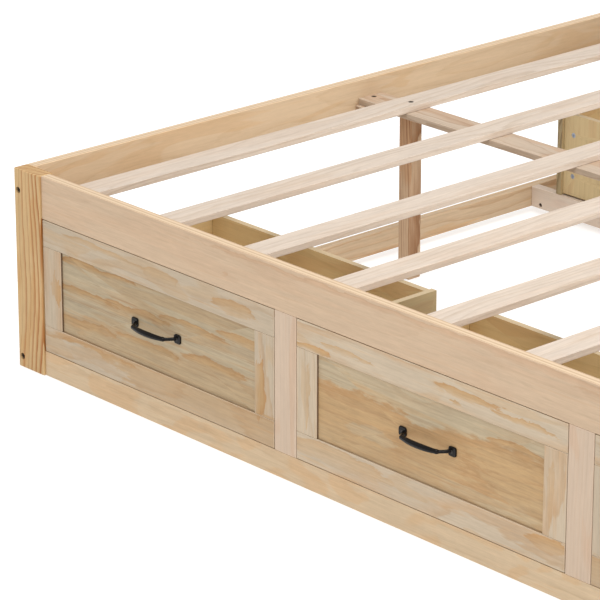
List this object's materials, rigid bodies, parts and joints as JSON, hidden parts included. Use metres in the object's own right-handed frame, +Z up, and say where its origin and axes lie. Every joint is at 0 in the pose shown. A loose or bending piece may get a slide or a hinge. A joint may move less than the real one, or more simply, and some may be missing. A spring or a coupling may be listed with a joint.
{
  "type": "platform bed with storage drawers",
  "caption": "Low pine platform bed with cross slats on a centre beam and framed drawers with black bow handles along both long sides.",
  "frame": {"origin": "on the floor under the middle of the bed", "axes": "+X along the bed from the foot end to the head end, +Y across it from the left side to the right side, +Z up"},
  "size_m": [2.052, 1.7092, 0.368],
  "materials": {
    "post_pine": "sawn and sanded pine, unfinished",
    "rail_pine": "planed pine, unfinished",
    "low_pine": "planed pine, unfinished",
    "slat_pine": "planed pale pine, unfinished",
    "beam_pine": "planed pine, unfinished",
    "front_pine": "planed pine, unfinished",
    "panel_ply": "rotary-cut pine veneer, unfinished",
    "box_board": "thin pine board, unfinished",
    "black_iron": "satin black",
    "zinc": "zinc plated",
    "dark_steel": "dark zinc"
  },
  "bodies": {
    "frame": {"post_foot_left": "post_pine", "post_foot_right": "post_pine", "post_head_left": "post_pine", "post_head_right": "post_pine", "top_rail_left": "rail_pine", "top_rail_right": "rail_pine", "bottom_rail_left": "rail_pine", "bottom_rail_right": "rail_pine", "stiles": "rail_pine", "top_rail_foot": "rail_pine", "top_rail_head": "rail_pine", "bottom_rail_foot": "low_pine", "bottom_rail_head": "low_pine", "support_rail_left": "low_pine", "support_rail_right": "low_pine", "slats": "slat_pine", "slat_ledgers": "low_pine", "centre_beam": "beam_pine", "beam_cleats": "beam_pine", "centre_legs": "beam_pine", "drawer_runners": "low_pine", "corner_bolts": "dark_steel", "barrel_nuts": "zinc", "slat_screws": "dark_steel"},
    "drawer_left_1": {"drawer_left_1_front": "front_pine", "drawer_left_1_panel": "panel_ply", "drawer_left_1_box": "box_board", "drawer_left_1_bottom": "box_board", "drawer_left_1_handle": "black_iron", "drawer_left_1_fittings": "zinc"},
    "drawer_left_2": {"drawer_left_2_front": "front_pine", "drawer_left_2_panel": "panel_ply", "drawer_left_2_box": "box_board", "drawer_left_2_bottom": "box_board", "drawer_left_2_handle": "black_iron", "drawer_left_2_fittings": "zinc"},
    "drawer_left_3": {"drawer_left_3_front": "front_pine", "drawer_left_3_panel": "panel_ply", "drawer_left_3_box": "box_board", "drawer_left_3_bottom": "box_board", "drawer_left_3_handle": "black_iron", "drawer_left_3_fittings": "zinc"},
    "drawer_right_1": {"drawer_right_1_front": "front_pine", "drawer_right_1_panel": "panel_ply", "drawer_right_1_box": "box_board", "drawer_right_1_bottom": "box_board", "drawer_right_1_handle": "black_iron", "drawer_right_1_fittings": "zinc"},
    "drawer_right_2": {"drawer_right_2_front": "front_pine", "drawer_right_2_panel": "panel_ply", "drawer_right_2_box": "box_board", "drawer_right_2_bottom": "box_board", "drawer_right_2_handle": "black_iron", "drawer_right_2_fittings": "zinc"},
    "drawer_right_3": {"drawer_right_3_front": "front_pine", "drawer_right_3_panel": "panel_ply", "drawer_right_3_box": "box_board", "drawer_right_3_bottom": "box_board", "drawer_right_3_handle": "black_iron", "drawer_right_3_fittings": "zinc"}
  },
  "joints": [
    {"name": "drawer_left_1_slide", "type": "slide", "parent": "frame", "child": "drawer_left_1", "axis": [0, -1, 0], "range_m": [0, 0.28]},
    {"name": "drawer_left_2_slide", "type": "slide", "parent": "frame", "child": "drawer_left_2", "axis": [0, -1, 0], "range_m": [0, 0.28]},
    {"name": "drawer_left_3_slide", "type": "slide", "parent": "frame", "child": "drawer_left_3", "axis": [0, -1, 0], "range_m": [0, 0.28]},
    {"name": "drawer_right_1_slide", "type": "slide", "parent": "frame", "child": "drawer_right_1", "axis": [0, 1, 0], "range_m": [0, 0.28]},
    {"name": "drawer_right_2_slide", "type": "slide", "parent": "frame", "child": "drawer_right_2", "axis": [0, 1, 0], "range_m": [0, 0.28]},
    {"name": "drawer_right_3_slide", "type": "slide", "parent": "frame", "child": "drawer_right_3", "axis": [0, 1, 0], "range_m": [0, 0.28]}
  ]
}
